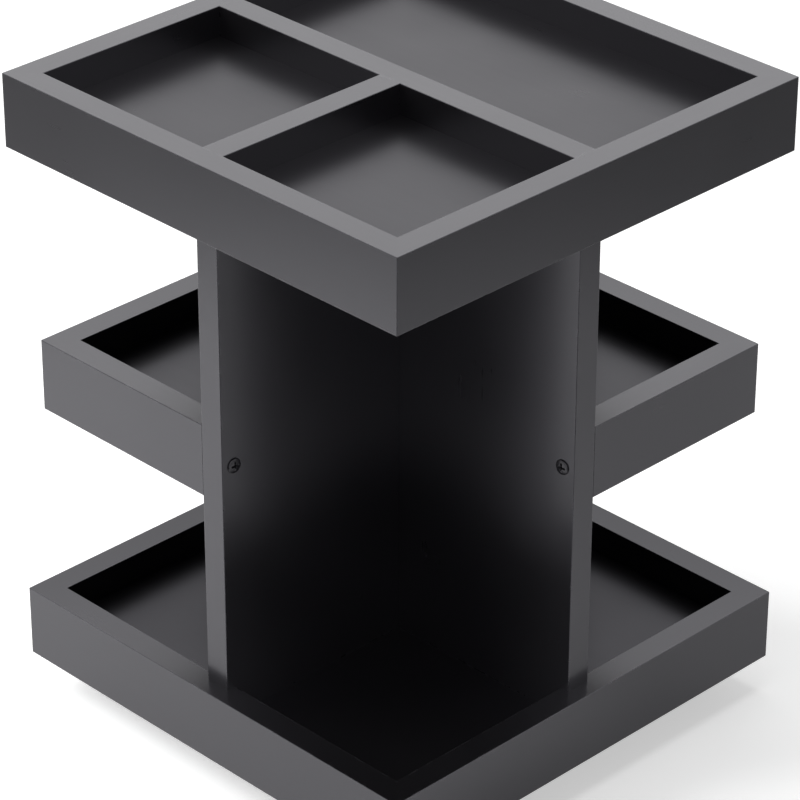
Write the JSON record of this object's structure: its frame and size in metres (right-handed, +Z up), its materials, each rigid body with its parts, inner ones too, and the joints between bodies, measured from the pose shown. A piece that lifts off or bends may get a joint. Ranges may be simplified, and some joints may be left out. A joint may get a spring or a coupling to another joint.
{
  "type": "rotating perfume organizer",
  "caption": "Black square organizer on a turntable: an open top tray with divided compartments over tall and shelved corner bays round a cross of panels, and a rimmed lower tray.",
  "frame": {"origin": "on the table under the turning axis, at the middle of the feet's undersides", "axes": "+Z up along the turning axis; +X and +Y square to the trays' sides. The corner towards the picture's viewer is at +X -Y, the shelves stand in the corners at -X -Y and +X +Y"},
  "size_m": [0.23, 0.23, 0.3],
  "materials": {
    "black_board": "satin black paint",
    "black_screw": "black enamel",
    "zinc_screw": "zinc plated",
    "ring_aluminium": "brushed",
    "ball_steel": "polished",
    "cage_plastic": "natural",
    "dowel_wood": "bare, fluted beech",
    "foot_rubber": "matt"
  },
  "bodies": {
    "base": {"base_board": "black_board", "rubber_feet": "foot_rubber", "foot_screws": "zinc_screw", "bearing_lower_ring": "ring_aluminium", "lower_ring_screws": "zinc_screw"},
    "organizer": {"lower_tray_floor": "black_board", "upper_tray_floor": "black_board", "long_divider": "black_board", "short_divider": "black_board", "cross_panel_slotted_above": "black_board", "cross_panel_slotted_below": "black_board", "lower_tray_rim_front_right": "black_board", "lower_tray_rim_back_right": "black_board", "lower_tray_rim_back_left": "black_board", "lower_tray_rim_front_left": "black_board", "upper_tray_rim_front_right": "black_board", "upper_tray_rim_back_right": "black_board", "upper_tray_rim_back_left": "black_board", "upper_tray_rim_front_left": "black_board", "left_shelf_front_rim": "black_board", "left_shelf_back_rim": "black_board", "left_shelf_floor": "black_board", "right_shelf_front_rim": "black_board", "right_shelf_back_rim": "black_board", "right_shelf_floor": "black_board", "bearing_upper_ring": "ring_aluminium", "upper_ring_screws": "zinc_screw", "panel_screws": "zinc_screw", "panel_dowels": "dowel_wood", "shelf_dowels": "dowel_wood", "shelf_rim_screws": "black_screw"},
    "ball_ring": {"bearing_balls": "ball_steel", "ball_cage": "cage_plastic"}
  },
  "joints": [
    {"name": "turntable_spin", "type": "hinge", "parent": "base", "child": "organizer", "pos_m": [0, 0, 0.02175], "axis": [0, 0, 1], "continuous": true},
    {"name": "ball_ring_roll", "type": "hinge", "parent": "base", "child": "ball_ring", "pos_m": [0, 0, 0.02175], "axis": [0, 0, 1], "continuous": true}
  ],
  "couplings": [
    {"joint": "ball_ring_roll", "follows": "turntable_spin", "ratio": 0.5}
  ]
}
